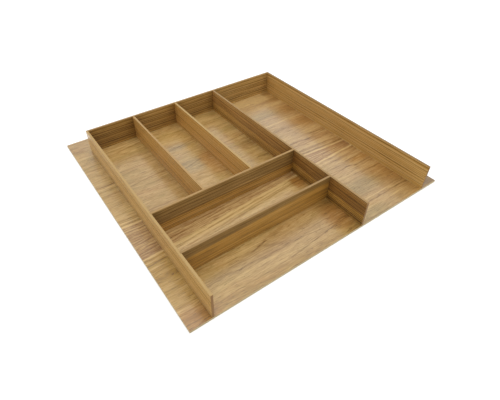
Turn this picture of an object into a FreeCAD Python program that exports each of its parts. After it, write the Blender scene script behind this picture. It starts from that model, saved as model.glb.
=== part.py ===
import FreeCAD, Part
import os
import re
import Sketcher

# A trim-to-fit cutlery tray for a kitchen drawer, made of thin veneered board.
# A flat base panel stands out beyond the walled box at the left, the right and the back.
# Upright walls stand on it by tongues glued into grooves, so that no joint shows from above.
# Millimetres, +Z up, +X to the right and +Y towards the back of the drawer.
# The origin is at the middle of the base panel's underside.

SIZES = {
    # The walled box: outside width, and depth from the base's front edge to the back wall's outer face
    "box_width": 456.0,
    "box_depth": 460.0,
    # The base panel and how far it stands out beyond the box on three sides
    "base_thickness": 4.0,
    "left_flange": 35.0,
    "right_flange": 39.0,
    "rear_flange": 50.0,
    # The walls
    "wall_thickness": 4.0,
    "wall_height": 50.0,
    "front_reveal": 0.5,
    # The bays: clear width of one cutlery slot, and clear depths of the two bays in front of the slots
    "slot_width": 93.5,
    "front_bay_depth": 82.0,
    "cross_bay_depth": 90.0,
    # The joinery: tongues under the walls, and housings in a wall for the ends of other walls
    "tongue_thickness": 2.0,
    "tongue_setback": 10.0,
    "groove_depth": 1.5,
    "housing_depth": 1.2,
    "glue_gap": 0.05,
    # Sanded edges, and how far a cut runs past the face that it opens in
    "arris_radius": 0.4,
    "cut_overrun": 1.0,
}

DIVIDERS = ("left_divider", "right_divider")
SLOT_COUNT = len(DIVIDERS) + 1

# Plan places, measured from the base panel's front left corner
BASE_WIDTH = "(left_flange + box_width + right_flange)"
BASE_DEPTH = "(box_depth + rear_flange)"
BOX_RIGHT = "(left_flange + box_width)"
SLOT_PITCH = "(slot_width + wall_thickness)"
PARTITION_LEFT = f"(left_flange + {SLOT_COUNT} * {SLOT_PITCH})"
FRONT_CROSS_FRONT = "front_bay_depth"
REAR_CROSS_FRONT = "(front_bay_depth + wall_thickness + cross_bay_depth)"

# Lengths of walls whose ends are held in housings
CROSS_LENGTH = f"({SLOT_COUNT} * {SLOT_PITCH} - wall_thickness + 2 * housing_depth - 2 * glue_gap)"
DIVIDER_LENGTH = (
    f"(box_depth - {REAR_CROSS_FRONT} - 2 * wall_thickness + 2 * housing_depth - 2 * glue_gap)"
)
PARTITION_LENGTH = "(box_depth - front_reveal - wall_thickness + housing_depth - glue_gap)"
SIDE_LENGTH = "(box_depth - front_reveal)"

# Plan directions of a wall's own length and thickness, by its turn about Z in degrees
PLAN_TURNS = {
    0: (("+", "along", "x"), ("+", "across", "y")),
    90: (("+", "along", "y"), ("-", "across", "x")),
    180: (("-", "along", "x"), ("-", "across", "y")),
    270: (("-", "along", "y"), ("+", "across", "x")),
}


def divider_left(index):
    """Plan place of a divider's left face, counted from the left."""
    return f"(left_flange + {index + 1} * {SLOT_PITCH})"


def sized(formula):
    """The formula with each size's name pointed at its cell."""
    return re.sub(r"[a-z]\w*", lambda word: "Sizes." + word.group(), formula)


def bind(thing, **formulas):
    """Tie an object's properties to formulas of the sizes."""
    for name, formula in formulas.items():
        thing.setExpression(name, sized(formula))


def make_sheet(doc):
    """The sheet of driving dimensions, one named cell in each row."""
    sheet = doc.addObject("Spreadsheet::Sheet", "Sizes")
    for row, (name, value) in enumerate(SIZES.items(), start=1):
        sheet.set(f"A{row}", name)
        sheet.set(f"B{row}", str(value))
        sheet.setAlias(f"B{row}", name)
    doc.recompute()


def make_body(doc, name):
    body = doc.addObject("PartDesign::Body", name)
    body.Label = name
    return body


def plan_sketch(body, name, height=None):
    """A sketch on the body's own XY plane, or at a height above it."""
    sketch = body.newObject("Sketcher::SketchObject", name)
    plane = next(item for item in body.Origin.OriginFeatures if item.Role == "XY_Plane")
    sketch.AttachmentSupport = (plane, [""])
    sketch.MapMode = "FlatFace"
    if height:
        sketch.setExpression("AttachmentOffset.Base.z", sized(height))
    return sketch


def draw_outline(sketch, corners):
    """A closed outline through corners, whose places are formulas that are never negative."""
    places = [
        FreeCAD.Vector(*(evaluate(formula) for formula in corner), 0)
        for corner in corners
    ]
    first = sketch.GeometryCount
    count = len(corners)
    for index in range(count):
        sketch.addGeometry(Part.LineSegment(places[index], places[(index + 1) % count]), False)
    for index in range(count):
        line, following = first + index, first + (index + 1) % count
        sketch.addConstraint(Sketcher.Constraint("Coincident", line, 2, following, 1))
        for axis, kind, formula in zip((-2, -1), ("DistanceX", "DistanceY"), corners[index]):
            if formula == "0":
                sketch.addConstraint(Sketcher.Constraint("PointOnObject", line, 1, axis))
                continue
            number = sketch.addConstraint(
                Sketcher.Constraint(kind, -1, 1, line, 1, evaluate(formula))
            )
            sketch.setExpression(f"Constraints[{number}]", sized(formula))


def evaluate(formula):
    """The value of a formula in the document's sizes."""
    return float(FreeCAD.ActiveDocument.getObject("Sizes").evalExpression(sized(formula)))


def extrude(body, kind, name, sketch, length=None, reverse=False):
    """A pad or a pocket of a sketch; a pocket with no length runs through everything."""
    feature = body.newObject(kind, name)
    feature.Profile = sketch
    feature.Reversed = reverse
    if length:
        bind(feature, Length=length)
    else:
        feature.Type = "ThroughAll"
    return feature


def soften(body, name, base, wanted):
    """Round the edges of the base feature that the test wants."""
    body.Document.recompute()
    edges = [
        f"Edge{number}"
        for number, edge in enumerate(base.Shape.Edges, start=1)
        if wanted(edge)
    ]
    fillet = body.newObject("PartDesign::Fillet", name)
    fillet.Base = (base, edges)
    bind(fillet, Radius="arris_radius")
    return fillet


class Wall:
    """An upright board: its length along its own X, its plain face at Y = 0 and its foot on the base panel.

    corner is the plan place of its own origin, mitres and free ends are for its start and its end, and
    housings are the places along it where other walls' ends enter the face opposite the plain one.
    """

    def __init__(self, name, corner, turn, length, mitred=(), free=(), housings=()):
        self.name = name
        self.corner = corner
        self.turn = turn
        self.length = length
        self.mitred = mitred
        self.free = free
        self.housings = housings

    def plan_place(self, along, across):
        """The plan place of a point that is given in the wall's own directions."""
        steps = {"along": along, "across": across}
        place = dict(zip("xy", self.corner))
        for sign, step, axis in PLAN_TURNS[self.turn]:
            place[axis] = f"({place[axis]} {sign} {steps[step]})"
        return place["x"], place["y"]

    def tongue(self, gap="0"):
        """The tongue's corners in the wall's own directions, grown by a gap for its groove."""
        start = f"(tongue_setback - {gap})"
        end = f"({self.length} - tongue_setback + {gap})"
        near = f"((wall_thickness - tongue_thickness) / 2 - {gap})"
        far = f"((wall_thickness + tongue_thickness) / 2 + {gap})"
        return (start, near), (end, near), (end, far), (start, far)

    def board_corners(self):
        """The board's plan, with the inner corner of a mitred end drawn back by the thickness."""
        inner_start = "wall_thickness" if "start" in self.mitred else "0"
        inner_end = f"({self.length} - wall_thickness)" if "end" in self.mitred else self.length
        return (
            ("0", "0"),
            (self.length, "0"),
            (inner_end, "wall_thickness"),
            (inner_start, "wall_thickness"),
        )

    def wants_softening(self):
        """A test for the long top edges, and for the edges round a free end above its foot."""
        top = evaluate("wall_height")
        ends = {"start": 0.0, "end": evaluate(self.length)}
        free_ends = [ends[name] for name in self.free]
        near = evaluate("glue_gap")

        def wanted(edge):
            box = edge.BoundBox
            on_top = box.ZMin > top - near
            across_free_end = any(
                abs(box.XMin - place) < near and abs(box.XMax - place) < near for place in free_ends
            )
            long_edge = box.XLength > evaluate("wall_thickness") + near
            return (on_top and long_edge) or (across_free_end and box.ZMax > top - near)

        return wanted

    def build(self, doc):
        body = make_body(doc, self.name)
        sketch = plan_sketch(body, self.name + "_plan")
        draw_outline(sketch, self.board_corners())
        board = extrude(body, "PartDesign::Pad", self.name + "_board", sketch, "wall_height")
        soften(body, self.name + "_arris", board, self.wants_softening())
        if self.housings:
            sketch = plan_sketch(body, self.name + "_housing_plan")
            for start in self.housings:
                end = f"({start} + wall_thickness + 2 * glue_gap)"
                bottom = "(wall_thickness - housing_depth)"
                mouth = "(wall_thickness + cut_overrun)"
                draw_outline(sketch, ((start, bottom), (end, bottom), (end, mouth), (start, mouth)))
            extrude(body, "PartDesign::Pocket", self.name + "_housings", sketch, reverse=True)
        sketch = plan_sketch(body, self.name + "_tongue_plan")
        draw_outline(sketch, self.tongue())
        extrude(
            body, "PartDesign::Pad", self.name + "_tongue", sketch, "groove_depth - glue_gap", reverse=True
        )
        body.Placement = FreeCAD.Placement(
            FreeCAD.Vector(), FreeCAD.Rotation(FreeCAD.Vector(0, 0, 1), self.turn)
        )
        body.setExpression("Placement.Base.x", sized(f"{self.corner[0]} - {BASE_WIDTH} / 2"))
        body.setExpression("Placement.Base.y", sized(f"{self.corner[1]} - {BASE_DEPTH} / 2"))
        body.setExpression("Placement.Base.z", sized("base_thickness"))
        return body


def tray_walls():
    """Every wall of the tray, each with the housings that its neighbours' ends enter."""
    cross_fronts = (FRONT_CROSS_FRONT, REAR_CROSS_FRONT)
    cross_start = "(left_flange + wall_thickness - housing_depth + glue_gap)"
    divider_lefts = [divider_left(index) for index in range(len(DIVIDERS))]
    walls = [
        Wall(
            "left_side_wall", ("left_flange", "box_depth"), 270, SIDE_LENGTH,
            mitred=("start",), free=("end",),
            housings=[f"(box_depth - {front} - wall_thickness - glue_gap)" for front in cross_fronts],
        ),
        Wall(
            "right_side_wall", (BOX_RIGHT, "front_reveal"), 90, SIDE_LENGTH,
            mitred=("end",), free=("start",),
        ),
        Wall(
            "back_wall", (BOX_RIGHT, "box_depth"), 180, "box_width",
            mitred=("start", "end"),
            housings=[
                f"({BOX_RIGHT} - {left} - wall_thickness - glue_gap)"
                for left in (*divider_lefts, PARTITION_LEFT)
            ],
        ),
        Wall(
            "long_partition", (f"({PARTITION_LEFT} + wall_thickness)", "front_reveal"), 90, PARTITION_LENGTH,
            free=("start",),
            housings=[f"({front} - front_reveal - glue_gap)" for front in cross_fronts],
        ),
        Wall("front_cross_wall", (cross_start, FRONT_CROSS_FRONT), 0, CROSS_LENGTH),
        Wall(
            "rear_cross_wall", (cross_start, REAR_CROSS_FRONT), 0, CROSS_LENGTH,
            housings=[f"({left} - {cross_start} - glue_gap)" for left in divider_lefts],
        ),
    ]
    divider_start = f"({REAR_CROSS_FRONT} + wall_thickness - housing_depth + glue_gap)"
    for name, left in zip(DIVIDERS, divider_lefts):
        walls.append(Wall(name, (f"({left} + wall_thickness)", divider_start), 90, DIVIDER_LENGTH))
    return walls


def build_base(doc, walls):
    """The base panel, with softened edges and one groove for each wall's tongue."""
    body = make_body(doc, "base_panel")
    sketch = plan_sketch(body, "base_plan")
    draw_outline(sketch, (("0", "0"), (BASE_WIDTH, "0"), (BASE_WIDTH, BASE_DEPTH), ("0", BASE_DEPTH)))
    panel = extrude(body, "PartDesign::Pad", "base_board", sketch, "base_thickness")
    soften(body, "base_arris", panel, lambda edge: True)
    sketch = plan_sketch(body, "base_groove_plan", "base_thickness")
    for wall in walls:
        draw_outline(sketch, [wall.plan_place(*corner) for corner in wall.tongue("glue_gap")])
    extrude(body, "PartDesign::Pocket", "base_grooves", sketch, "groove_depth")
    body.setExpression("Placement.Base.x", sized(f"-{BASE_WIDTH} / 2"))
    body.setExpression("Placement.Base.y", sized(f"-{BASE_DEPTH} / 2"))
    return body


def check(doc, bodies):
    """Stop if anything failed, if a cut took nothing away, or if a piece isn't one sound solid."""
    for item in doc.Objects:
        if "Invalid" in item.State or "Error" in item.State:
            raise RuntimeError(f"{item.Name} failed: {item.State}")
        if item.TypeId == "PartDesign::Pocket" and item.Shape.Volume >= item.BaseFeature.Shape.Volume:
            raise RuntimeError(f"{item.Name} cuts nothing")
    for body in bodies:
        shape = body.Shape
        if shape.isNull() or not shape.isValid() or len(shape.Solids) != 1:
            raise RuntimeError(f"{body.Label} isn't one valid solid")


def main():
    doc = FreeCAD.newDocument("cutlery_tray")
    make_sheet(doc)
    walls = tray_walls()
    bodies = [build_base(doc, walls)]
    for wall in walls:
        bodies.append(wall.build(doc))
    doc.recompute()
    check(doc, bodies)
    os.makedirs("parts", exist_ok=True)
    for body in bodies:
        body.Shape.exportStep(os.path.join("parts", body.Label + ".step"))
        box = body.Shape.BoundBox
        print(
            f"{body.Label}: volume {body.Shape.Volume:.1f} mm3,",
            f"x {box.XMin:.2f} to {box.XMax:.2f}, y {box.YMin:.2f} to {box.YMax:.2f},",
            f"z {box.ZMin:.2f} to {box.ZMax:.2f}",
        )


main()
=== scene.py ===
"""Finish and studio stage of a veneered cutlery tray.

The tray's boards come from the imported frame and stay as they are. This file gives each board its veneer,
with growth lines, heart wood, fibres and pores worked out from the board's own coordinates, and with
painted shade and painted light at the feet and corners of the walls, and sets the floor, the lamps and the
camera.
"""

import math
from typing import NamedTuple

import bpy
import numpy as np
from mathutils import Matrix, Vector


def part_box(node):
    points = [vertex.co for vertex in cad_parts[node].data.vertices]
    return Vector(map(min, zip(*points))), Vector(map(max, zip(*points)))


bl_info = {
    "name": "Cutlery tray finish",
    "version": (1, 0, 0),
    "blender": (4, 5, 0),
    "location": "3D View > Sidebar > Cutlery tray",
    "description": "Veneers the boards of a cutlery tray and sets its studio stage",
    "category": "Object",
}

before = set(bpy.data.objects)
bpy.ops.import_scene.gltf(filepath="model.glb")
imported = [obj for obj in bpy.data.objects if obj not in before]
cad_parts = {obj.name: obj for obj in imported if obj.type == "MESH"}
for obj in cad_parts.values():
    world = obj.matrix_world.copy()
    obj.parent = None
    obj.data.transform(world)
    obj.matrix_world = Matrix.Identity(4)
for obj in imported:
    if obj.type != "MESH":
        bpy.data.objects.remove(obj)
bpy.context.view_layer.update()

# The wood figure is worked out in millimetres, and the frame is in metres
MILLIMETRES = 1000.0

# The picture's width in pixels, the sensor's width in millimetres and the nearest distance that is drawn
IMAGE_WIDTH = 500
SENSOR_WIDTH = 36.0
CLIP_START = 0.01

BASE_LOW, BASE_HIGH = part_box("base_panel")
WALL_FOOT = BASE_HIGH[2]
WALL_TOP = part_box("back_wall")[1][2]


class Noise(NamedTuple):
    """A smooth noise: its waves' lengths along and across the grain in millimetres, a seed and a weight."""

    along: float
    across: float
    seed: float
    weight: float = 1.0


class Stripes(NamedTuple):
    """Soft stripes along the grain: their spacing in millimetres, a seed and a weight."""

    spacing: float
    seed: float
    weight: float


class Growth(NamedTuple):
    """Years of growth: their spacing in millimetres, the thinness of late wood, a seed and a weight."""

    spacing: float
    thinness: float
    seed: float
    weight: float


class FibreTone(NamedTuple):
    """How fibres tint a veneer: a seed, and the weights of fibre bundles and of pores."""

    seed: float
    bundle: float
    pores: float


class Line(NamedTuple):
    """A line along a whole board, mostly a growth line: its place and half width in millimetres, and its
    tone.

    A tone above 0 is dark and one below 0 is pale, here and in a streak.
    """

    place: float
    half_width: float
    tone: float


# Most streaks are growth lines; some are painted shade and painted light on the floor at the feet of the
# walls
class Streak(NamedTuple):
    """A streak on the base, from start to end in millimetres from the front left corner.

    It fades out towards its half width, and past both ends over its fade.
    """

    start_x: float
    start_y: float
    end_x: float
    end_y: float
    half_width: float
    tone: float
    fade: float = 10.0


class Patch(NamedTuple):
    """A soft oval of another colour on the base, in millimetres from the front left corner."""

    x: float
    y: float
    half_length: float
    half_height: float
    colour: str
    strength: float


class WallFigure(NamedTuple):
    """How one wall is veneered.

    The grain runs along axis, and seed picks the wall's place in the veneer. The tone drifts by drift from
    the wall's start to its end. A band of another colour lies over band_foot, which climbs by band_rise
    per length. crispness is the depth of the growth lines, and edge_tone the tone of the bare top edge.
    The wall's own lines lie at heights above its foot. ground and dark name two colours of the veneer.
    """

    axis: str
    seed: float
    tone: float
    edge_tone: float
    crispness: float
    band_foot: float
    band_share: float
    lines: tuple
    drift: float = 0.0
    band_rise: float = 0.0
    band_colour: str = "wall_russet"
    ground: str = "wall_honey"
    dark: str = "wall_umber"


BASE_STREAKS = (
    # Left flange
    Streak(-20, 270, 36, 270, 210.0, -0.12),
    Streak(-20, 6, 36, 6, 34.0, 0.26),
    Streak(-20, 130, 36, 130, 120.0, 0.16),
    Streak(-20, 485, 36, 485, 26.0, 0.18),
    Streak(-20, 445, 40, 445, 3.0, -0.45),
    Streak(-20, 437, 40, 437, 2.5, 0.30),
    Streak(-20, 339, 40, 339, 2.0, 0.45),
    Streak(-20, 333, 40, 333, 2.5, -0.45),
    Streak(-20, 326, 40, 326, 2.2, 0.45),
    Streak(-20, 311, 40, 311, 6.0, 0.25),
    Streak(-20, 95, 40, 96, 4.0, 0.30),
    Streak(-20, 38, 40, 38, 1.8, 0.40),
    Streak(-20, 33, 40, 33, 3.0, -0.25),
    Streak(-20, 27, 40, 27, 2.4, 0.35),
    # Slots, beside the back wall: a broad pale band, painted light on the floor along the wall's foot
    Streak(40, 440, 330, 440, 48.0, -0.34),
    # Left slot
    Streak(40, 421, 135, 434, 2.2, 0.55),
    Streak(40, 433, 135, 441, 1.8, 0.35),
    Streak(40, 437, 135, 444, 2.0, -0.40),
    Streak(40, 427, 135, 438, 2.0, -0.30),
    Streak(40, 441, 135, 447, 1.8, 0.35),
    Streak(40, 360, 135, 361, 2.0, 0.40),
    Streak(40, 351, 80, 352, 2.4, 0.45),
    Streak(40, 310, 135, 321, 2.0, 0.50),
    Streak(80, 300, 115, 300, 1.8, 0.35),
    Streak(40, 236, 120, 235, 1.5, 0.45),
    # Middle slot
    Streak(150, 434, 235, 447, 2.2, 0.50),
    Streak(150, 426, 235, 437, 1.8, 0.35),
    Streak(165, 368, 225, 378, 2.8, 0.50),
    Streak(160, 322, 228, 322, 1.8, 0.30),
    Streak(155, 298, 205, 311, 2.4, 0.50),
    Streak(150, 402, 232, 404, 26.0, -0.20),
    Streak(170, 258, 220, 254, 1.8, 0.40),
    # Right slot
    Streak(255, 412, 330, 413, 2.2, 0.35),
    Streak(255, 326, 330, 334, 2.2, 0.60),
    Streak(255, 306, 330, 306, 22.0, 0.16),
    Streak(255, 257, 330, 256, 1.8, 0.25),
    Streak(255, 247, 330, 248, 1.8, 0.20),
    # Painted shade on the floor in the corner by the partition and the back wall
    Streak(312, 440, 330, 440, 16.0, 0.35, 24),
    # Cross bay
    Streak(40, 133, 300, 142, 40.0, -0.26),
    Streak(40, 166, 330, 170, 14.0, -0.14),
    Streak(40, 141, 110, 143.5, 3.6, -0.50),
    Streak(120, 145, 330, 161, 4.2, -0.85),
    Streak(40, 135, 305, 156.5, 2.4, 0.40),
    Streak(40, 130, 300, 153.2, 2.8, -0.42),
    Streak(40, 125, 300, 151.6, 2.0, 0.42),
    Streak(40, 119.5, 300, 147, 2.2, 0.46),
    Streak(110, 122, 290, 137, 8.0, -0.24, 30),
    # Painted shade on the floor at the partition's foot
    Streak(308, 148, 330, 148, 26.0, 0.45, 18),
    # Front bay
    Streak(40, 30, 330, 30, 60.0, 0.04),
    Streak(40, 5, 330, 5, 18.0, 0.30),
    # Painted shade on the floor at the partition's foot
    Streak(312, 40, 330, 40, 60.0, 0.32, 34),
    Streak(40, 45, 95, 46, 1.4, 0.50),
    Streak(40, 49, 95, 48, 1.4, 0.45),
    Streak(40, 60, 150, 61, 2.2, 0.20),
    Streak(95, 70, 165, 70, 12.0, -0.30, 30),
    # Painted shade on the floor at the partition's foot
    Streak(312, 73, 330, 73, 14.0, 0.40, 30),
    Streak(150, 60, 172, 65, 2.6, 0.65),
    Streak(165, 64, 215, 72, 6.0, 0.32),
    Streak(165, 60, 195, 48, 6.0, 0.28),
    Streak(128, 38, 175, 40, 1.8, 0.22),
    Streak(175, 40, 220, 39, 1.8, 0.25),
    Streak(220, 39, 300, 30, 1.5, 0.55),
    Streak(195, 17, 245, 22, 1.6, 0.65),
    Streak(245, 22, 330, 29, 1.5, 0.60),
    Streak(40, 15, 195, 17, 1.8, 0.30),
    Streak(70, 33, 290, 34, 5.0, -0.25),
    # Wide bay
    # A broad pale band, painted light on the floor along the back wall's foot
    Streak(335, 442, 460, 442, 46.0, -0.55),
    # Dark bands fading in towards the right wall: painted shade on the floor at its foot
    Streak(484, 52, 540, 52, 64.0, 0.48, 60),
    Streak(484, 188, 540, 188, 22.0, 0.34, 50),
    Streak(484, 300, 540, 300, 26.0, 0.46, 60),
    Streak(484, 357, 540, 357, 24.0, 0.36, 60),
    Streak(310, 4, 540, 4, 14.0, 0.20),
    Streak(495, 14, 540, 14, 34.0, 0.70, 6),
    Streak(310, 419, 419, 423, 2.6, 0.50),
    Streak(410, 432, 424, 421, 2.6, 0.45),
    Streak(419, 422, 475, 419, 2.4, 0.35),
    Streak(310, 395, 540, 395, 14.0, -0.20),
    Streak(310, 337, 540, 337, 2.6, 0.30),
    Streak(310, 324, 540, 324, 2.4, -0.35),
    Streak(310, 262, 540, 262, 8.0, -0.25),
    Streak(310, 249, 426, 240, 2.6, 0.65),
    Streak(426, 240, 490, 248, 2.2, 0.50),
    Streak(455, 252, 540, 251, 1.8, 0.50),
    Streak(310, 230, 540, 230, 2.2, 0.35),
    Streak(400, 134, 455, 134, 1.6, 0.45),
    Streak(310, 113, 427, 124, 2.2, 0.60),
    Streak(427, 124, 442, 119, 2.4, 0.65),
    Streak(442, 119, 540, 120, 2.2, 0.60),
    Streak(432, 113, 540, 114, 1.8, 0.45),
    Streak(310, 105, 540, 105, 5.0, -0.25),
    Streak(440, 96, 540, 96, 2.6, 0.30),
    Streak(310, 40, 540, 40, 2.6, -0.30),
    Streak(310, 32, 540, 32, 2.4, 0.55),
    Streak(310, 22, 540, 22, 4.0, -0.20),
    Streak(385, 298, 425, 298, 18.0, 0.25, 30),
    Streak(385, 350, 455, 350, 22.0, 0.22, 30),
    # Painted shade on the floor at the right wall's foot
    Streak(484, 418, 540, 418, 24.0, 0.42, 60),
    Streak(390, 68, 435, 68, 24.0, 0.18, 30),
)

BASE_PATCHES = (
    # Slots
    # Warm bands along the back wall's foot: painted shade with its warm bounced light
    Patch(90, 443, 60, 12, "base_ochre", 0.5),
    Patch(195, 446, 55, 10, "base_ochre", 0.5),
    Patch(195, 390, 46, 60, "base_gold", 0.4),
    Patch(188, 372, 42, 14, "base_smoke", 0.8),
    Patch(180, 300, 40, 30, "base_smoke", 0.9),
    Patch(222, 290, 26, 60, "base_ochre", 0.9),
    Patch(175, 250, 34, 36, "base_gold", 0.6),
    # Painted shade on the floor at the partition's foot
    Patch(314, 302, 28, 26, "base_umber", 0.30),
    # Bays in front of the slots
    # Painted warm shade on the floor at the partition's foot
    Patch(314, 42, 40, 34, "base_ochre", 1.0),
    Patch(182, 57, 18, 10, "base_umber", 0.25),
    Patch(90, 50, 60, 14, "base_smoke", 0.5),
    # Painted warm shade on the floor at the partition's foot
    Patch(316, 145, 18, 20, "base_ochre", 1.0),
    # Wide bay
    Patch(438, 230, 78, 420, "base_dusk", 0.8),
    Patch(405, 364, 75, 18, "base_smoke", 0.7),
    # Warm patches at the right wall: painted shade on the floor at its foot
    Patch(492, 360, 66, 26, "base_ochre", 0.5),
    Patch(492, 303, 74, 34, "base_ochre", 0.6),
    Patch(420, 233, 90, 14, "heart_rose", 0.5),
    Patch(405, 68, 80, 26, "base_smoke", 0.8),
    Patch(470, 130, 40, 12, "base_ochre", 0.7),
    # Painted warm shade on the floor at the right wall's foot
    Patch(492, 78, 66, 44, "base_ochre", 0.5),
    Patch(372, 8, 46, 22, "base_smoke", 0.8),
    # A broad warm gradient towards the right wall: painted shade on the floor beside it
    Patch(524, 230, 84, 520, "base_ochre", 0.5),
    Patch(405, 424, 60, 46, "base_dusk", 0.9),
    Patch(195, 42, 150, 40, "base_dusk", 0.6),
    # Flanges
    Patch(16, 60, 46, 130, "base_gold", 0.6),
    Patch(16, 6, 46, 40, "base_ochre", 0.9),
    Patch(16, 490, 40, 30, "heart_rose", 0.6),
    Patch(520, 12, 30, 24, "base_smoke", 0.8),
)

# Growth lines beside the heart band, placed by their distance outside it
HEART_LINES = (
    Line(-9.0, 1.6, 0.40),
    Line(-4.5, 1.8, 0.45),
    Line(0.5, 3.0, -0.85),
    Line(4.5, 2.2, 0.45),
    Line(9.5, 2.6, -0.45),
    Line(15.0, 2.6, 0.40),
    Line(22.0, 4.0, -0.20),
    Line(31.5, 2.4, 0.25),
)

# Places along the base, under the left wall and under the partition, where its heart wood changes
UNDER_LEFT_WALL = (36.0, 42.0)
UNDER_PARTITION = (325.0, 335.0)

# The heart band: how far its edge fades outwards and inwards, the depth of its growth lines on the left
# flange and how that changes inside the box, its share of colour, and the shares of the lines beside it
HEART_FADE_OUT = 1.0
HEART_FADE_IN = 3.0
HEART_DEPTH = 0.5
HEART_DEPTH_CHANGE = -0.15
HEART_COLOUR_SHARE = 0.9
HEART_LINES_RIGHT = 0.8
HEART_LINES_LEFT = 1.0

# The base's grain: how it wanders, and how the streaks' course and ends and the patches' outlines do
BASE_WAVES = (Noise(260.0, 90.0, 1.7, 9.0), Noise(70.0, 26.0, 2.7, 4.5), Noise(18.0, 7.0, 3.7, 1.2))
STREAK_WAVES = (Noise(45.0, 20.0, 5.9, 2.0), Noise(16.0, 7.0, 6.9, 1.0))
STREAK_ENDS = Noise(24.0, 5.0, 6.6, 9.0)
PATCH_ALONG = Noise(24.0, 6.0, 8.8, 9.0)
PATCH_ACROSS = Noise(36.0, 10.0, 9.4, 3.0)

# The base's growth lines; the broad ones show only in clearings
BASE_STRIPES = Stripes(20.0, 4.0, 0.25)
BROAD_YEARS = Growth(10.0, 5.0, 15.0, 0.9)
HEART_YEARS = Growth(5.4, 2.4, 21.0, 3.6)
CLOSE_YEARS = Growth(2.6, 3.0, 27.0, 0.55)
CLEARINGS = Noise(110.0, 30.0, 3.3)
CLEARING_RAMP = (-0.2, 0.5)

# The base's strokes, and its fine strokes and flecks, which are keener at the left
BASE_STROKES = (Noise(90.0, 34.0, 6.2, 0.20), Noise(40.0, 11.0, 7.0, 0.26), Noise(60.0, 4.0, 7.4, 0.50))
FINE_STROKES = (Noise(16.0, 1.8, 7.9, 0.56),)
FINE_FLECKS = (Noise(30.0, 1.8, 8.6, 0.90), Noise(12.0, 1.3, 9.2, 0.80))
FINE_START = -0.18
KEENNESS = 1.36
KEENNESS_CHANGE = -0.0009
BASE_FIBRES = FibreTone(2.3, 0.14, 0.25)

# The base's hues and clouds of colour, and the plies that show at its edge
BASE_HUES = (Noise(80.0, 22.0, 31.0, 0.7), Noise(30.0, 7.0, 33.0, 0.5))
HUE_START = 0.5
BASE_CLOUDS = {
    "base_ochre": Noise(90.0, 30.0, 11.0, 0.4),
    "heart_rose": Noise(90.0, 30.0, 13.0, 0.4),
    "base_smoke": Noise(90.0, 30.0, 17.0, 0.4),
}
CLOUD_RAMP = (0.0, 0.7)
EDGE_PLIES = Stripes(0.9, 2.0, 0.5)
EDGE_FIBRE_SHARE = 0.3

RIM_WALLS = {
    "left_side_wall": WallFigure(
        axis="y", seed=3.1, tone=-0.20, edge_tone=-0.30, crispness=2.8, band_foot=40.0, band_share=0.0,
        # The last line darkens the wall broadly towards its foot
        lines=(Line(46.0, 9.0, -0.25), Line(26.0, 7.0, 0.55), Line(16.5, 4.5, -0.70), Line(3.0, 8.0, 0.12)),
        dark="end_brown",
    ),
    "right_side_wall": WallFigure(
        axis="y", seed=9.3, tone=-0.34, edge_tone=0.60, crispness=1.4, band_foot=20.0, band_share=0.22,
        lines=(
            Line(40.0, 4.0, -0.20), Line(31.0, 4.0, 0.28), Line(25.5, 1.5, 0.22), Line(20.5, 1.8, 0.30),
            Line(12.0, 5.0, -0.22),
        ),
        drift=-0.14,
    ),
    "back_wall": WallFigure(
        axis="x", seed=5.3, tone=0.50, edge_tone=0.30, crispness=1.5, band_foot=3.0, band_share=0.60,
        lines=(Line(37.0, 2.0, 0.30), Line(28.0, 2.5, 0.30), Line(18.0, 2.0, 0.30), Line(10.0, 2.5, 0.28)),
        drift=-0.66, band_colour="wall_taupe",
    ),
}
INNER_WALLS = {
    "long_partition": WallFigure(
        axis="y", seed=12.9, tone=0.70, edge_tone=0.34, crispness=1.6, band_foot=21.0, band_share=0.80,
        lines=(Line(40.0, 3.0, 0.15), Line(33.0, 2.0, 0.18), Line(20.0, 3.0, -0.18), Line(9.0, 3.0, 0.15)),
        drift=-0.76,
    ),
    "left_divider": WallFigure(
        axis="y", seed=17.4, tone=-0.36, edge_tone=0.10, crispness=2.9, band_foot=30.0, band_share=0.12,
        lines=(Line(44.0, 5.0, 0.05), Line(25.0, 6.0, 0.10)),
        ground="wall_gold", dark="end_brown",
    ),
    "right_divider": WallFigure(
        axis="y", seed=21.6, tone=-0.30, edge_tone=-0.34, crispness=2.9, band_foot=18.0, band_share=0.15,
        lines=(Line(25.0, 3.0, 0.12), Line(18.0, 2.0, 0.10), Line(8.0, 3.0, -0.12)),
        ground="wall_gold", dark="end_brown",
    ),
    "rear_cross_wall": WallFigure(
        axis="x", seed=26.2, tone=0.06, edge_tone=0.22, crispness=1.0, band_foot=20.0, band_share=0.95,
        # The last line darkens the wall broadly towards its foot
        lines=(Line(19.5, 1.6, 0.35), Line(3.0, 6.0, 0.25)),
        band_colour="wall_taupe",
    ),
    "front_cross_wall": WallFigure(
        axis="x", seed=30.8, tone=0.20, edge_tone=0.40, crispness=0.5, band_foot=32.0, band_share=0.85,
        lines=(Line(24.0, 3.0, 0.08), Line(15.0, 3.0, 0.18)),
        band_rise=0.024, band_colour="wall_taupe", ground="wall_amber",
    ),
}

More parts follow.
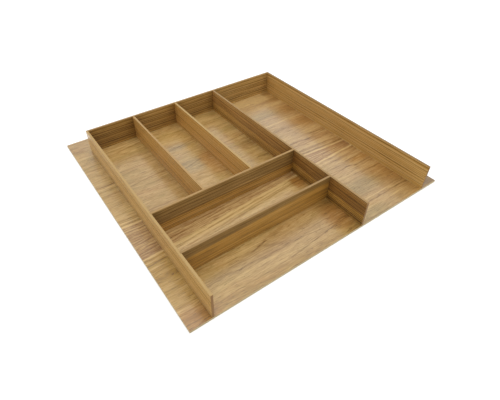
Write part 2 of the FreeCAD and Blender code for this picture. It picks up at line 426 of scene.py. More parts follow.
# What all walls share; each wall's own seed is added to these seeds
WALL_WAVES = (Noise(240.0, 70.0, 0.0, 3.0), Noise(60.0, 12.0, 1.0, 0.8))
WALL_STRIPES = Stripes(12.0, 0.0, 0.20)
WALL_YEARS = (Growth(4.2, 3.0, 40.0, 2.0), Growth(2.0, 3.0, 80.0, 1.7))
WALL_STROKES = (Noise(70.0, 14.0, 5.0, 0.35), Noise(60.0, 2.6, 6.0, 0.60))
WALL_FLECKS = (Noise(30.0, 1.4, 7.0, 0.55),)
WALL_START = -0.06
WALL_FIBRES = FibreTone(2.0, 0.18, 0.28)
WALL_BLUSH = Noise(55.0, 12.0, 8.0, 0.28)
BLUSH_RAMP = (0.0, 0.6)
BAND_RAMP = (-1.5, 1.5)
TOP_FIBRE_SHARE = 0.10
TOP_STRIPES = Stripes(1.1, 0.0, 0.12)
TOP_STROKES = (Noise(60.0, 2.0, 9.0, 0.15),)

# Painted shade in the corners between walls: how far it reaches, and its depth
PAINTED_CORNER_SHADES = ((22.0, 0.28), (1.5, 0.25))

# Distances from a board's cut edge, and depths under a wall's top, at which bare wood starts and is full
CUT_RAMP = (0.3, 0.1)
TOP_RAMP = (0.45, 0.2)

# Noise in general, and the parts of it that make flecks and pores
NOISE_DETAIL = 2.0
NOISE_ROUGHNESS = 0.55
FIBRE_DETAIL = 3.0
FLECK_RAMP = (0.22, 0.50)
PORE_RAMP = (0.22, 0.45)
PORE_SEED = 0.5

# Years of growth: years in one wave of uneven growth, its shift in years, and the least depth of late wood
# and what chance adds to it
UNEVEN_YEARS = 4.0
UNEVEN_SHIFT = 1.4
LATE_LEAST = 0.2
LATE_ADDED = 0.6

# The finish: what fibres, pores and bare edges add to the roughness, the heights of fibres and pores in the
# relief, the relief's strength, and the colour of the sheen
FIBRE_ROUGHNESS = 0.07
PORE_ROUGHNESS = 0.18
BARE_ROUGHNESS = 0.35
FIBRE_HEIGHT = 0.35
PORE_HEIGHT = -1.0
RELIEF_STRENGTH = 0.35
WARM_SHEEN = (0.97, 1.0, 0.77, 1.0)


def colour(name, description, value):
    """A colour setting in linear light."""
    return bpy.props.FloatVectorProperty(
        name=name, description=description, subtype="COLOR", size=3, min=0.0, max=1.0, default=value
    )


def length(name, description, value):
    """A length setting in metres."""
    return bpy.props.FloatProperty(
        name=name, description=description, unit="LENGTH", default=value, precision=4
    )


def share(name, description, value):
    """A setting between none and all of something."""
    return bpy.props.FloatProperty(
        name=name, description=description, subtype="FACTOR", min=0.0, max=1.0, default=value
    )


def power(name, description, value):
    """A lamp's power in watts."""
    return bpy.props.FloatProperty(name=name, description=description, unit="POWER", default=value)


def point(name, description, value):
    """A point of the tray's frame, in metres."""
    return bpy.props.FloatVectorProperty(
        name=name, description=description, subtype="XYZ", unit="LENGTH", size=3, default=value
    )


def angle(name, description, value):
    """An angle setting, given in degrees."""
    return bpy.props.FloatProperty(
        name=name, description=description, subtype="ANGLE", default=math.radians(value)
    )


def refraction(name, description, value):
    """A refractive index."""
    return bpy.props.FloatProperty(name=name, description=description, min=1.0, default=value)


class TrayColours(bpy.types.PropertyGroup):
    """Colours of the veneers and of the bare edges."""

    base_tan: colour("Base tan", "Redder ground colour of the base sheet", (0.392, 0.211, 0.057))
    base_olive: colour("Base olive", "Greener ground colour of the base sheet", (0.358, 0.236, 0.061))
    # Base ochre also colours the painted warm shade on the floor at the feet of the walls
    base_ochre: colour("Base ochre", "Warmer patches of the base sheet", (0.36, 0.165, 0.032))
    base_smoke: colour("Base smoke", "Greyer patches of the base sheet", (0.290, 0.192, 0.066))
    base_dusk: colour("Base dusk", "Pinker patches of the base sheet", (0.375, 0.222, 0.095))
    base_gold: colour("Base gold", "Yellower patches of the base sheet", (0.40, 0.215, 0.020))
    # Base straw also colours the painted light by the back wall, and base umber the painted shade at the
    # walls' feet
    base_straw: colour("Base straw", "Pale growth lines of the base sheet", (0.62, 0.42, 0.17))
    base_umber: colour("Base umber", "Dark growth lines of the base sheet", (0.13, 0.055, 0.005))
    heart_rose: colour("Heart rose", "Reddish brown of the heart wood", (0.29, 0.140, 0.046))
    wall_honey: colour("Wall honey", "Ground colour of the wall boards", (0.530, 0.283, 0.052))
    wall_gold: colour("Wall gold", "Brighter ground colour of a wall board", (0.710, 0.356, 0.037))
    wall_amber: colour("Wall amber", "Redder ground colour of a wall board", (0.455, 0.232, 0.040))
    wall_taupe: colour("Wall taupe", "Darker band along some wall boards", (0.255, 0.150, 0.046))
    wall_russet: colour("Wall russet", "Redder band along some wall boards", (0.36, 0.165, 0.042))
    wall_straw: colour("Wall straw", "Pale growth lines of the wall boards", (0.67, 0.43, 0.160))
    # Wall umber, and end brown on some walls, also colour the painted shade in the corners between walls
    wall_umber: colour("Wall umber", "Dark growth lines of the wall boards", (0.095, 0.044, 0.011))
    edge_straw: colour("Edge straw", "Bare edge along the top of the walls", (0.445, 0.268, 0.100))
    end_brown: colour("End brown", "End grain at the front of the walls", (0.24, 0.105, 0.014))
    core_birch: colour("Core birch", "Pale core that shows at the base's edge", (0.42, 0.31, 0.12))


class TrayGrain(bpy.types.PropertyGroup):
    """Sizes of the wood figure, and the finish."""

    heart_place: length("Heart place", "Middle of the heart band from the front edge", 0.182)
    heart_half_width: length("Heart half width", "Half the heart band's width at the left edge", 0.041)
    heart_taper: share("Heart taper", "Narrowing of the heart band's half width per length", 0.0615)
    pore_length: length("Pore length", "Length of an open pore along the grain", 0.007)
    pore_width: length("Pore width", "Width of an open pore", 0.0003)
    fibre_length: length("Fibre length", "Length of a fibre bundle", 0.060)
    fibre_width: length("Fibre width", "Width of a fibre bundle", 0.0008)
    relief: length("Relief", "Depth of the open grain", 0.00012)
    roughness: share("Roughness", "Mean roughness of the veneer under its lacquer", 0.32)
    base_refraction: refraction("Base refraction", "Refractive index of the base's filled veneer", 1.5)
    wall_refraction: refraction("Wall refraction", "Refractive index of the walls' veneer", 1.5)
    base_lacquer: share("Base lacquer", "Weight of the clear lacquer on the base", 1.0)
    wall_lacquer: share("Wall lacquer", "Weight of the clear lacquer on the walls", 0.15)
    lacquer_roughness: share("Lacquer roughness", "Satin of the clear lacquer", 0.24)


class TrayStage(bpy.types.PropertyGroup):
    """Camera, lamps and floor."""

    azimuth: angle("Azimuth", "Camera's turn about the tray", -35.161)
    elevation: angle("Elevation", "Camera's angle above the floor", 41.097)
    distance: length("Distance", "Camera's distance from its target", 0.7431)
    target: point("Target", "Point that the camera looks at", (-0.04471, -0.05044, 0.0))
    focal_pixels: bpy.props.FloatProperty(
        name="Focal length", description="Focal length in pixels of the picture", default=399.19
    )
    shift: bpy.props.FloatVectorProperty(
        name="Shift", description="Picture's shift in shares of its width", size=2,
        default=(0.0251, -0.02864)
    )
    key_power: power("Key lamp", "Power of the large soft lamp overhead", 34.0)
    key_place: point("Key lamp's place", "Where the overhead lamp hangs", (0.15, -0.1, 2.5))
    key_size: length("Key lamp's size", "Side of the square overhead lamp", 2.4)
    rear_power: power("Rear lamp", "Power of the soft lamp behind the tray, for the sheen on its base", 6.0)
    rear_place: point("Rear lamp's place", "Where the rear lamp stands", (1.64, 1.95, 1.59))
    rear_size: length("Rear lamp's size", "Side of the square rear lamp", 2.4)
    ambient: share("Ambient", "Even light from all round", 0.72)
    floor_radius: length("Floor radius", "Radius of the round floor", 3.0)
    floor_white: share("Floor white", "Reflectance of the floor", 0.75)
    floor_lift: share("Floor lift", "Light that the floor adds towards the camera", 0.40)


class Graph:
    """The shader nodes of one material, joined up as they are added."""

    def __init__(self, tree):
        self.tree = tree
        self.tree.nodes.clear()

    def node(self, kind, inputs=None, **settings):
        """Adds a node; an input is another node's output, which is linked, or a plain value."""
        made = self.tree.nodes.new(kind)
        for name, value in settings.items():
            setattr(made, name, value)
        for key, value in (inputs or {}).items():
            if isinstance(value, bpy.types.NodeSocket):
                self.tree.links.new(value, made.inputs[key])
            else:
                made.inputs[key].default_value = value
        return made

    def maths(self, operation, *values):
        """One arithmetic step."""
        return self.node("ShaderNodeMath", dict(enumerate(values)), operation=operation).outputs[0]

    def smooth(self, value, low, high):
        """Smooth step from 0 at low to 1 at high; low may be the larger."""
        inputs = {"Value": value, "From Min": low, "From Max": high}
        return self.node("ShaderNodeMapRange", inputs, interpolation_type="SMOOTHSTEP").outputs["Result"]

    def mix(self, factor, first, second):
        """Mixes two colours; the node takes colours in sockets 6 and 7 and gives one in socket 2."""
        inputs = {0: factor, 6: first, 7: second}
        return self.node("ShaderNodeMix", inputs, data_type="RGBA").outputs[2]


class Board(NamedTuple):
    """Coordinates of a board in millimetres: as a vector, along its grain, across it and through it."""

    vector: bpy.types.NodeSocket
    along: bpy.types.NodeSocket
    across: bpy.types.NodeSocket
    through: bpy.types.NodeSocket


def opaque(rgb):
    """A colour setting as a socket's four numbers."""
    return (*rgb, 1.0)


def new_material(name):
    """An empty node material and its graph."""
    material = bpy.data.materials.new(name)
    material.use_nodes = True
    return material, Graph(material.node_tree)


def board_space(graph, corner, order):
    """Object coordinates in millimetres from a corner, dealt out along, across and through the grain."""
    place = graph.node("ShaderNodeTexCoord").outputs["Object"]
    inputs = {
        "Vector": place,
        "Location": [-MILLIMETRES * value for value in corner],
        "Scale": [MILLIMETRES] * 3,
    }
    scaled = graph.node("ShaderNodeMapping", inputs).outputs["Vector"]
    axes = graph.node("ShaderNodeSeparateXYZ", {0: scaled}).outputs
    dealt = [axes[name.upper()] for name in order]
    vector = graph.node("ShaderNodeCombineXYZ", dict(enumerate(dealt))).outputs[0]
    return Board(vector, *dealt)


def flowing(graph, board, place):
    """The board's coordinates with the across coordinate replaced by one that follows the grain."""
    vector = graph.node("ShaderNodeCombineXYZ", {0: board.along, 1: place, 2: board.through}).outputs[0]
    return Board(vector, board.along, place, board.through)


def signed(graph, noise):
    """A noise texture's value, spread from 0 to 1, as one between about -1 and 1."""
    return graph.maths("MULTIPLY_ADD", noise.outputs["Fac"], 2.0, -1.0)


def figure_noise(graph, board, noise, seed=0.0, detail=NOISE_DETAIL):
    """A smooth noise on a board, without its weight."""
    seed = seed + noise.seed
    inputs = {
        "Vector": board.vector,
        "Location": (seed, 2.0 * seed, 3.0 * seed),
        "Scale": (1.0 / noise.along, 1.0 / noise.across, 1.0 / noise.across),
    }
    place = graph.node("ShaderNodeMapping", inputs).outputs["Vector"]
    inputs = {"Vector": place, "Scale": 1.0, "Detail": detail, "Roughness": NOISE_ROUGHNESS}
    return signed(graph, graph.node("ShaderNodeTexNoise", inputs, noise_dimensions="3D"))


def line_noise(graph, place, spacing, seed):
    """A noise of one coordinate alone, so that it draws long unbroken lines."""
    moved = graph.maths("MULTIPLY_ADD", place, 1.0 / spacing, seed)
    inputs = {"W": moved, "Scale": 1.0, "Detail": NOISE_DETAIL}
    return signed(graph, graph.node("ShaderNodeTexNoise", inputs, noise_dimensions="1D"))


def growth_lines(graph, ring, growth, seed=0.0):
    """Years of growth across a ring coordinate, about 0 on average.

    Each year darkens to a thin sharp line of late wood of its own depth.
    """
    seed = seed + growth.seed
    uneven = line_noise(graph, ring, UNEVEN_YEARS * growth.spacing, seed)
    uneven = graph.maths("MULTIPLY", uneven, UNEVEN_SHIFT)
    years = graph.maths("MULTIPLY_ADD", ring, 1.0 / growth.spacing, uneven)
    late = graph.maths("POWER", graph.maths("FRACT", years), growth.thinness)
    year = graph.maths("ADD", graph.maths("FLOOR", years), seed)
    depth = graph.node("ShaderNodeTexWhiteNoise", {"W": year}, noise_dimensions="1D").outputs["Value"]
    depth = graph.maths("MULTIPLY_ADD", depth, LATE_ADDED, LATE_LEAST)
    average = (LATE_LEAST + LATE_ADDED / 2.0) / (growth.thinness + 1.0)
    return graph.maths("MULTIPLY_ADD", late, depth, -average)


def ramped(graph, board, noise, ramp, seed=0.0):
    """The part of a noise that stands out, from 0 at the ramp's start to 1 at its end."""
    return graph.smooth(figure_noise(graph, board, noise, seed), *ramp)


def stroke_terms(graph, board, noises, seed=0.0):
    """Each noise on a board, with its weight."""
    return [(figure_noise(graph, board, noise, seed), noise.weight) for noise in noises]


def fleck_terms(graph, board, noises, seed=0.0):
    """Short dark flecks along the grain from each noise, with its weight."""
    return [(ramped(graph, board, noise, FLECK_RAMP, seed), noise.weight) for noise in noises]


def weighted(graph, terms, start=0.0):
    """The sum of (value, weight) pairs."""
    for value, weight in terms:
        start = graph.maths("MULTIPLY_ADD", value, weight, start)
    return start


def shifted(graph, board, noise, place, seed=0.0):
    """A coordinate shifted by a noise, whose weight is the shift in millimetres."""
    return graph.maths("MULTIPLY_ADD", figure_noise(graph, board, noise, seed), noise.weight, place)


def wander(graph, board, noises, seed=0.0):
    """The across coordinate shifted by several noises, one after another."""
    place = board.across
    for noise in noises:
        place = shifted(graph, board, noise, place, seed)
    return place


def drawn_lines(graph, place, lines, tone):
    """Adds lines along a whole board, at their places across it, to a tone."""
    for line in lines:
        away = graph.maths("ABSOLUTE", graph.maths("SUBTRACT", place, line.place))
        tone = graph.maths("MULTIPLY_ADD", graph.smooth(away, line.half_width, 0.0), line.tone, tone)
    return tone


def drawn_streak(graph, along, course, streak, tone):
    """Adds a streak from end to end, fading out at its half width and past its ends, to a tone."""
    slope = (streak.end_y - streak.start_y) / (streak.end_x - streak.start_x)
    middle = graph.maths("MULTIPLY_ADD", along, slope, streak.start_y - slope * streak.start_x)
    offset = graph.maths("ABSOLUTE", graph.maths("SUBTRACT", course, middle))
    line = graph.smooth(offset, streak.half_width, 0.0)
    started = graph.smooth(along, streak.start_x - streak.fade, streak.start_x)
    line = graph.maths("MULTIPLY", line, started)
    going_on = graph.smooth(along, streak.end_x + streak.fade, streak.end_x)
    line = graph.maths("MULTIPLY", line, going_on)
    return graph.maths("MULTIPLY_ADD", line, streak.tone, tone)


def patch_share(graph, along, across, patch):
    """A soft oval: its strength in the middle, nothing at its rim."""
    u = graph.maths("DIVIDE", graph.maths("SUBTRACT", along, patch.x), patch.half_length)
    v = graph.maths("DIVIDE", graph.maths("SUBTRACT", across, patch.y), patch.half_height)
    square = graph.maths("MULTIPLY_ADD", u, u, graph.maths("MULTIPLY", v, v))
    return graph.maths("MULTIPLY", graph.smooth(square, 1.0, 0.0), patch.strength)


def fibres(graph, board, grain, seed):
    """Fibre bundles between -1 and 1, and open pores from 0 to 1."""
    bundle = Noise(grain.fibre_length * MILLIMETRES, grain.fibre_width * MILLIMETRES, seed)
    pore = Noise(grain.pore_length * MILLIMETRES, grain.pore_width * MILLIMETRES, seed + PORE_SEED)
    return (
        figure_noise(graph, board, bundle, detail=FIBRE_DETAIL),
        ramped(graph, board, pore, PORE_RAMP),
    )


def toned(graph, tone, ground, dark, pale):
    """The ground colour, turned dark where the tone is above 0 and pale where it is below."""
    tint = graph.mix(graph.maths("MAXIMUM", tone, 0.0), ground, dark)
    return graph.mix(graph.maths("MAXIMUM", graph.maths("MULTIPLY", tone, -1.0), 0.0), tint, pale)


def lacquer_over(graph, grain, tint, bundle, pores, bare, ior, lacquer):
    """Ends a veneer's graph with its finish.

    Pores are rough and sunk, fibres vary the sheen, bare edges are rougher, and lacquer lies over all.
    """
    rough = graph.maths("MULTIPLY_ADD", bundle, FIBRE_ROUGHNESS, grain.roughness)
    rough = weighted(graph, ((pores, PORE_ROUGHNESS), (bare, BARE_ROUGHNESS)), rough)
    sunk = graph.maths("MULTIPLY", pores, PORE_HEIGHT)
    height = graph.maths("MULTIPLY_ADD", bundle, FIBRE_HEIGHT, sunk)
    inputs = {"Height": height, "Strength": RELIEF_STRENGTH, "Distance": grain.relief}
    bump = graph.node("ShaderNodeBump", inputs)
    inputs = {
        "Base Color": tint,
        "Roughness": rough,
        "Normal": bump.outputs["Normal"],
        "IOR": ior,
        "Specular Tint": WARM_SHEEN,
        "Coat Weight": lacquer,
        "Coat Roughness": grain.lacquer_roughness,
    }
    shader = graph.node("ShaderNodeBsdfPrincipled", inputs)
    graph.node("ShaderNodeOutputMaterial", {"Surface": shader.outputs["BSDF"]})


def heart_band(graph, board, course, grain):
    """The heart band's ring coordinate, which grows outwards and along its taper, and the band's share."""
    reach = graph.maths("ABSOLUTE", graph.maths("SUBTRACT", course, grain.heart_place * MILLIMETRES))
    ring = graph.maths("MULTIPLY_ADD", board.along, grain.heart_taper, reach)
    rim = grain.heart_half_width * MILLIMETRES
    return ring, graph.smooth(ring, rim + HEART_FADE_OUT, rim - HEART_FADE_IN)


def base_grain(graph, flow, ring, heart, grain):
    """The base's growth lines, strokes and flecks, as a tone."""
    outer_ring = graph.maths("MULTIPLY_ADD", flow.along, grain.heart_taper, flow.across)
    inside = graph.smooth(flow.along, *UNDER_LEFT_WALL)
    depth = graph.maths("MULTIPLY_ADD", inside, HEART_DEPTH_CHANGE, HEART_DEPTH)
    depth = graph.maths("MULTIPLY", heart, depth)
    clear = ramped(graph, flow, CLEARINGS, CLEARING_RAMP)
    stripes = line_noise(graph, outer_ring, BASE_STRIPES.spacing, BASE_STRIPES.seed)
    broad = graph.maths("MULTIPLY", growth_lines(graph, outer_ring, BROAD_YEARS), clear)
    deep = graph.maths("MULTIPLY", growth_lines(graph, ring, HEART_YEARS), depth)
    close = growth_lines(graph, outer_ring, CLOSE_YEARS)
    lines = weighted(graph, (
        (stripes, BASE_STRIPES.weight),
        (broad, BROAD_YEARS.weight),
        (deep, HEART_YEARS.weight),
        (close, CLOSE_YEARS.weight),
    ))
    strokes = weighted(graph, stroke_terms(graph, flow, BASE_STROKES), lines)
    fine_terms = stroke_terms(graph, flow, FINE_STROKES) + fleck_terms(graph, flow, FINE_FLECKS)
    fine = weighted(graph, fine_terms, FINE_START)
    keen = graph.maths("MULTIPLY_ADD", flow.along, KEENNESS_CHANGE, KEENNESS)
    return graph.maths("MULTIPLY_ADD", fine, keen, strokes)


def beside_heart(graph, board, ring, grain, tone):
    """Adds the lines beside the heart band, in the wide bay and on the left flange, to a tone."""
    outside = graph.maths("SUBTRACT", ring, grain.heart_half_width * MILLIMETRES)
    beside = weighted(graph, (
        (graph.smooth(board.along, *UNDER_PARTITION), HEART_LINES_RIGHT),
        (graph.smooth(board.along, *reversed(UNDER_LEFT_WALL)), HEART_LINES_LEFT),
    ))
    lines = drawn_lines(graph, outside, HEART_LINES, 0.0)
    return graph.maths("MULTIPLY_ADD", lines, beside, tone)


def base_ground(graph, flow, heart, colours):
    """The base's ground colour: two hues, clouds and patches of other colours, and the heart band."""
    hue = weighted(graph, stroke_terms(graph, flow, BASE_HUES), HUE_START)
    ground = graph.mix(hue, opaque(colours.base_tan), opaque(colours.base_olive))
    for name, noise in BASE_CLOUDS.items():
        cloud = graph.maths("MULTIPLY", ramped(graph, flow, noise, CLOUD_RAMP), noise.weight)
        ground = graph.mix(cloud, ground, opaque(getattr(colours, name)))
    along = shifted(graph, flow, PATCH_ALONG, flow.along)
    across = shifted(graph, flow, PATCH_ACROSS, flow.across)
    # Some patches are painted warm shade on the floor at the feet of the walls
    for patch in BASE_PATCHES:
        share_here = patch_share(graph, along, across, patch)
        ground = graph.mix(share_here, ground, opaque(getattr(colours, patch.colour)))
    heart_share = graph.maths("MULTIPLY", heart, HEART_COLOUR_SHARE)
    return graph.mix(heart_share, ground, opaque(colours.heart_rose))


def base_edge(graph, board, bundle, colours):
    """The share of the base's cut edge, and the colour of the plies that show there."""
    width, depth = (MILLIMETRES * (BASE_HIGH[axis] - BASE_LOW[axis]) for axis in (0, 1))
    from_sides = graph.maths("MINIMUM", board.along, graph.maths("SUBTRACT", width, board.along))
    from_ends = graph.maths("MINIMUM", board.across, graph.maths("SUBTRACT", depth, board.across))
    edge = graph.smooth(graph.maths("MINIMUM", from_sides, from_ends), *CUT_RAMP)
    plies = line_noise(graph, board.through, EDGE_PLIES.spacing, EDGE_PLIES.seed)
    plies = weighted(graph, ((plies, EDGE_PLIES.weight), (bundle, EDGE_FIBRE_SHARE)))
    dark_ply = graph.maths("MAXIMUM", plies, 0.0)
    return edge, graph.mix(dark_ply, opaque(colours.core_birch), opaque(colours.base_tan))


def base_veneer(colours, grain):
    """The base sheet: one leaf of veneer, with a tapering heart band and wavy growth lines along its width.

    Each streak and patch adds nodes, and a renderer has room for only so many values at a time. So the
    streaks have a sum of their own, and the patches have coordinates of their own.
    """
    material, graph = new_material("base_veneer")
    board = board_space(graph, BASE_LOW, "xyz")
    flow = flowing(graph, board, wander(graph, board, BASE_WAVES))
    course = wander(graph, board, STREAK_WAVES)
    ragged = shifted(graph, board, STREAK_ENDS, board.along)
    ring, heart = heart_band(graph, board, course, grain)

    tone = base_grain(graph, flow, ring, heart, grain)
    tone = beside_heart(graph, board, ring, grain, tone)
    # The streaks' sum: growth lines, with painted shade and painted light on the floor at the feet of the
    # walls
    figure = 0.0
    for streak in BASE_STREAKS:
        figure = drawn_streak(graph, ragged, course, streak, figure)
    tone = graph.maths("ADD", tone, figure)
    bundle, pores = fibres(graph, flow, grain, BASE_FIBRES.seed)
    tone = weighted(graph, ((bundle, BASE_FIBRES.bundle), (pores, BASE_FIBRES.pores)), tone)

    ground = base_ground(graph, flow, heart, colours)
    tint = toned(graph, tone, ground, opaque(colours.base_umber), opaque(colours.base_straw))
    edge, plies = base_edge(graph, board, bundle, colours)
    tint = graph.mix(edge, tint, plies)
    lacquer_over(graph, grain, tint, bundle, pores, edge, grain.base_refraction, grain.base_lacquer)
    return material


def painted_corner_shade(graph, name, board, axis, tone):
    """Adds painted shade where other walls meet a wall, on the sides that they meet it from, to a tone."""
    low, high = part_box(name)
    through = 1 - axis
    middle = MILLIMETRES * (high[through] - low[through]) / 2.0
    for other in (*RIM_WALLS, *INNER_WALLS):
        near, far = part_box(other)
        if other == name or any(near[k] > high[k] or far[k] < low[k] for k in (0, 1)):
            continue
        before = graph.maths("SUBTRACT", MILLIMETRES * (near[axis] - low[axis]), board.along)
        after = graph.maths("SUBTRACT", board.along, MILLIMETRES * (far[axis] - low[axis]))
        gap = graph.maths("MAXIMUM", before, after)
        shade = weighted(graph, [(graph.smooth(gap, reach, 0.0), depth) for reach, depth in PAINTED_CORNER_SHADES])
        if near[through] >= low[through]:
            shade = graph.maths("MULTIPLY", shade, graph.maths("GREATER_THAN", board.through, middle))
        if far[through] <= high[through]:
            shade = graph.maths("MULTIPLY", shade, graph.maths("LESS_THAN", board.through, middle))
        tone = graph.maths("ADD", tone, shade)
    return tone


def wall_grain(graph, flow, figure, run):
    """A wall's straight growth lines, strokes and flecks with its own tone and lines, as a tone."""
    place, seed = flow.across, figure.seed
    stripes = line_noise(graph, place, WALL_STRIPES.spacing, seed + WALL_STRIPES.seed)
    terms = [(stripes, WALL_STRIPES.weight)]
    for growth in WALL_YEARS:
        terms.append((growth_lines(graph, place, growth, seed), growth.weight * figure.crispness))
    terms += stroke_terms(graph, flow, WALL_STROKES, seed)
    terms += fleck_terms(graph, flow, WALL_FLECKS, seed)
    tone = weighted(graph, terms, WALL_START)
    own_tone = graph.maths("MULTIPLY_ADD", flow.along, figure.drift / run, figure.tone)
    tone = graph.maths("ADD", tone, own_tone)
    return drawn_lines(graph, place, figure.lines, tone)


def wall_ground(graph, flow, figure, colours):
    """A wall's ground colour, with its band and a faint blush."""
    foot = graph.maths("MULTIPLY_ADD", flow.along, figure.band_rise, figure.band_foot)
    over_foot = graph.smooth(graph.maths("SUBTRACT", flow.across, foot), *BAND_RAMP)
    band = graph.maths("MULTIPLY", over_foot, figure.band_share)
    plain = opaque(getattr(colours, figure.ground))
    ground = graph.mix(band, plain, opaque(getattr(colours, figure.band_colour)))
    blush = ramped(graph, flow, WALL_BLUSH, BLUSH_RAMP, figure.seed)
    blush = graph.maths("MULTIPLY", blush, WALL_BLUSH.weight)
    return graph.mix(blush, ground, opaque(colours.wall_russet))


def wall_top(graph, board, figure, bundle, colours):
    """The share of a wall's bare top edge, and its colour."""
    height = MILLIMETRES * (WALL_TOP - WALL_FOOT)
    top = graph.smooth(board.across, *(height - depth for depth in TOP_RAMP))
    stripes = line_noise(graph, board.through, TOP_STRIPES.spacing, figure.seed + TOP_STRIPES.seed)
    terms = [(bundle, TOP_FIBRE_SHARE), (stripes, TOP_STRIPES.weight)]
    terms += stroke_terms(graph, board, TOP_STROKES, figure.seed)
    tone = weighted(graph, terms, figure.edge_tone)
    ground, dark, pale = opaque(colours.edge_straw), opaque(colours.wall_umber), opaque(colours.core_birch)
    return top, toned(graph, tone, ground, dark, pale)


def wall_veneer(name, figure, colours, grain):
    """A wall board: straight grain along its length, a darker band along it and a pale bare top edge."""
    material, graph = new_material(f"{name}_veneer")
    axis, order = (0, "xzy") if figure.axis == "x" else (1, "yzx")
    low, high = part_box(name)
    run = MILLIMETRES * (high[axis] - low[axis])
    board = board_space(graph, (low[0], low[1], WALL_FOOT), order)
    flow = flowing(graph, board, wander(graph, board, WALL_WAVES, figure.seed))

    tone = wall_grain(graph, flow, figure, run)
    # Painted shade in the corners where other walls meet this wall
    tone = painted_corner_shade(graph, name, board, axis, tone)
    bundle, pores = fibres(graph, flow, grain, figure.seed + WALL_FIBRES.seed)
    tone = weighted(graph, ((bundle, WALL_FIBRES.bundle), (pores, WALL_FIBRES.pores)), tone)

    ground = wall_ground(graph, flow, figure, colours)
    tint = toned(graph, tone, ground, opaque(getattr(colours, figure.dark)), opaque(colours.wall_straw))
    top, top_tint = wall_top(graph, board, figure, bundle, colours)
    tint = graph.mix(top, tint, top_tint)
    from_end = graph.maths("MINIMUM", board.along, graph.maths("SUBTRACT", run, board.along))
    end = graph.smooth(from_end, *CUT_RAMP)
    tint = graph.mix(end, tint, opaque(colours.end_brown))
    bare = graph.maths("MAXIMUM", top, end)
    lacquer_over(graph, grain, tint, bundle, pores, bare, grain.wall_refraction, grain.wall_lacquer)
    return material


def dress(node_name, material):
    """Gives a CAD node its finish."""
    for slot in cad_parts[node_name].material_slots:
        slot.material = material


def dress_walls(walls, scene):
    """Gives each wall of a table its veneer."""
    for name, figure in walls.items():
        dress(name, wall_veneer(name, figure, scene.tray_colours, scene.tray_grain))


class TRAY_OT_base(bpy.types.Operator):
    """Veneers the base sheet"""

    bl_idname = "tray.base"
    bl_label = "Base sheet"

    def execute(self, context):
        scene = context.scene
        dress("base_panel", base_veneer(scene.tray_colours, scene.tray_grain))
        return {"FINISHED"}


class TRAY_OT_rim(bpy.types.Operator):
    """Veneers the two side walls and the back wall"""

    bl_idname = "tray.rim"
    bl_label = "Rim walls"

    def execute(self, context):
        dress_walls(RIM_WALLS, context.scene)
        return {"FINISHED"}


class TRAY_OT_inner(bpy.types.Operator):
    """Veneers the partition, the cross walls and the dividers"""

    bl_idname = "tray.inner"
    bl_label = "Inner walls"

    def execute(self, context):
        dress_walls(INNER_WALLS, context.scene)
        return {"FINISHED"}


def floor_disc(radius, rings=24, spokes=96):
    """A flat disc: radius times (r cos t, r sin t, 0) on a grid of r from 0 to 1 and t once round."""
    steps_out = np.linspace(0.0, 1.0, rings + 1)[1:]
    steps_round = np.linspace(0.0, 2.0 * np.pi, spokes, endpoint=False)
    share_out, turn = np.meshgrid(steps_out, steps_round, indexing="ij")
    flat = np.stack([np.cos(turn), np.sin(turn), np.zeros_like(turn)], axis=-1)
    points = np.vstack([np.zeros((1, 3)), (radius * share_out[..., None] * flat).reshape(-1, 3)])
    ring, spoke = np.meshgrid(np.arange(rings - 1), np.arange(spokes), indexing="ij")
    inner = 1 + ring * spokes + spoke
    inner_next = 1 + ring * spokes + (spoke + 1) % spokes
    quads = np.stack([inner, inner + spokes, inner_next + spokes, inner_next], axis=-1).reshape(-1, 4)
    first = 1 + np.arange(spokes)
    fan = np.stack([np.zeros_like(first), first, np.roll(first, -1)], axis=-1)
    mesh = bpy.data.meshes.new("studio_floor")
    mesh.from_pydata(points.tolist(), [], fan.tolist() + quads.tolist())
    mesh.update()
    return mesh


def seen_directly(graph):
    """1 for rays from the camera, off gloss or through glass, and 0 for light that is scattered."""
    path = graph.node("ShaderNodeLightPath").outputs
    glossy = graph.maths("MAXIMUM", path["Is Glossy Ray"], path["Is Transmission Ray"])
    return graph.maths("MAXIMUM", path["Is Camera Ray"], glossy)


def floor_material(stage):
    """Matt white that keeps shadows, lifted to the white of the backdrop where it is seen directly."""
    material, graph = new_material("studio_floor_white")
    white = (stage.floor_white,) * 3
    matt = graph.node("ShaderNodeBsdfDiffuse", {"Color": opaque(white)})
    lift = graph.maths("MULTIPLY", seen_directly(graph), stage.floor_lift)
    glow = graph.node("ShaderNodeEmission", {"Strength": lift})
    both = graph.node("ShaderNodeAddShader", {0: matt.outputs[0], 1: glow.outputs[0]})
    graph.node("ShaderNodeOutputMaterial", {"Surface": both.outputs[0]})
    return material


def lay_floor(stage):
    """Lays the floor under the base sheet."""
    mesh = floor_disc(stage.floor_radius)
    mesh.materials.append(floor_material(stage))
    floor = bpy.data.objects.new("studio_floor", mesh)
    bpy.context.scene.collection.objects.link(floor)


def hang_lamp(name, watts, place, size):
    """A soft square lamp that faces the tray."""
    lamp = bpy.data.lights.new(name, "AREA")
    lamp.energy = watts
    lamp.size = size
    holder = bpy.data.objects.new(name, lamp)
    holder.location = place
    holder.rotation_euler = Vector(place).to_track_quat("Z", "Y").to_euler()
    bpy.context.scene.collection.objects.link(holder)


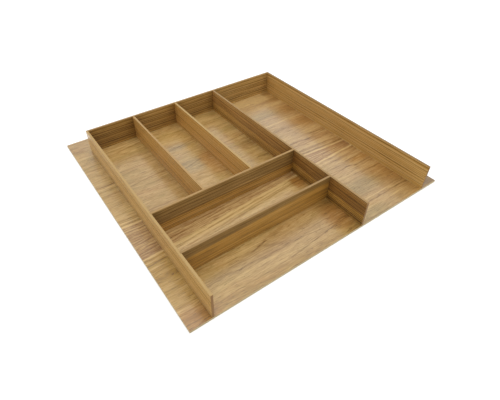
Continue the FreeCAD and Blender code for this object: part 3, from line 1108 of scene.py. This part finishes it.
def set_lamps(stage):
    """A large soft lamp overhead, a fainter one behind the tray, and even white light all round."""
    hang_lamp("key_lamp", stage.key_power, stage.key_place, stage.key_size)
    hang_lamp("rear_lamp", stage.rear_power, stage.rear_place, stage.rear_size)

    world = bpy.data.worlds.new("studio_light")
    world.use_nodes = True
    graph = Graph(world.node_tree)
    strength = graph.maths("MULTIPLY_ADD", seen_directly(graph), 1.0 - stage.ambient, stage.ambient)
    backdrop = graph.node("ShaderNodeBackground", {"Color": (1.0, 1.0, 1.0, 1.0), "Strength": strength})
    graph.node("ShaderNodeOutputWorld", {"Surface": backdrop.outputs[0]})
    bpy.context.scene.world = world


def set_camera(stage):
    """The camera on a sphere about its target, level, with the picture's focal length and shift."""
    level = math.cos(stage.elevation)
    back = Vector((
        math.sin(stage.azimuth) * level,
        -math.cos(stage.azimuth) * level,
        math.sin(stage.elevation),
    ))
    camera = bpy.data.cameras.new("camera")
    camera.sensor_width = SENSOR_WIDTH
    camera.lens = SENSOR_WIDTH * stage.focal_pixels / IMAGE_WIDTH
    camera.shift_x, camera.shift_y = stage.shift
    camera.clip_start = CLIP_START
    holder = bpy.data.objects.new("camera", camera)
    holder.location = Vector(stage.target) + back * stage.distance
    holder.rotation_euler = back.to_track_quat("Z", "Y").to_euler()
    bpy.context.scene.collection.objects.link(holder)
    bpy.context.scene.camera = holder


class TRAY_OT_stage(bpy.types.Operator):
    """Sets the floor, the lamps, the camera and the plain view of colours"""

    bl_idname = "tray.stage"
    bl_label = "Studio stage"

    def execute(self, context):
        stage = context.scene.tray_stage
        lay_floor(stage)
        set_lamps(stage)
        set_camera(stage)
        context.scene.view_settings.view_transform = "Standard"
        return {"FINISHED"}


class TRAY_PT_sidebar(bpy.types.Panel):
    """Lists the tray's pieces and settings"""

    bl_idname = "TRAY_PT_sidebar"
    bl_label = "Cutlery tray"
    bl_space_type = "VIEW_3D"
    bl_region_type = "UI"
    bl_category = "Cutlery tray"

    def draw(self, context):
        for operator in OPERATORS:
            self.layout.operator(operator.bl_idname)
        for group in (context.scene.tray_colours, context.scene.tray_grain, context.scene.tray_stage):
            box = self.layout.box()
            for name in group.__annotations__:
                box.prop(group, name)


SETTINGS = {"tray_colours": TrayColours, "tray_grain": TrayGrain, "tray_stage": TrayStage}
OPERATORS = (TRAY_OT_base, TRAY_OT_rim, TRAY_OT_inner, TRAY_OT_stage)
CLASSES = (*SETTINGS.values(), *OPERATORS, TRAY_PT_sidebar)


def register():
    """Registers the classes and hangs the settings on the scene."""
    for entry in CLASSES:
        bpy.utils.register_class(entry)
    for name, group in SETTINGS.items():
        setattr(bpy.types.Scene, name, bpy.props.PointerProperty(type=group))


def unregister():
    """Takes the settings off the scene and unregisters the classes."""
    for name in SETTINGS:
        delattr(bpy.types.Scene, name)
    for entry in reversed(CLASSES):
        bpy.utils.unregister_class(entry)


def main():
    """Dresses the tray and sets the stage."""
    register()
    bpy.ops.tray.base()
    bpy.ops.tray.rim()
    bpy.ops.tray.inner()
    bpy.ops.tray.stage()


if __name__ == "__main__":
    main()
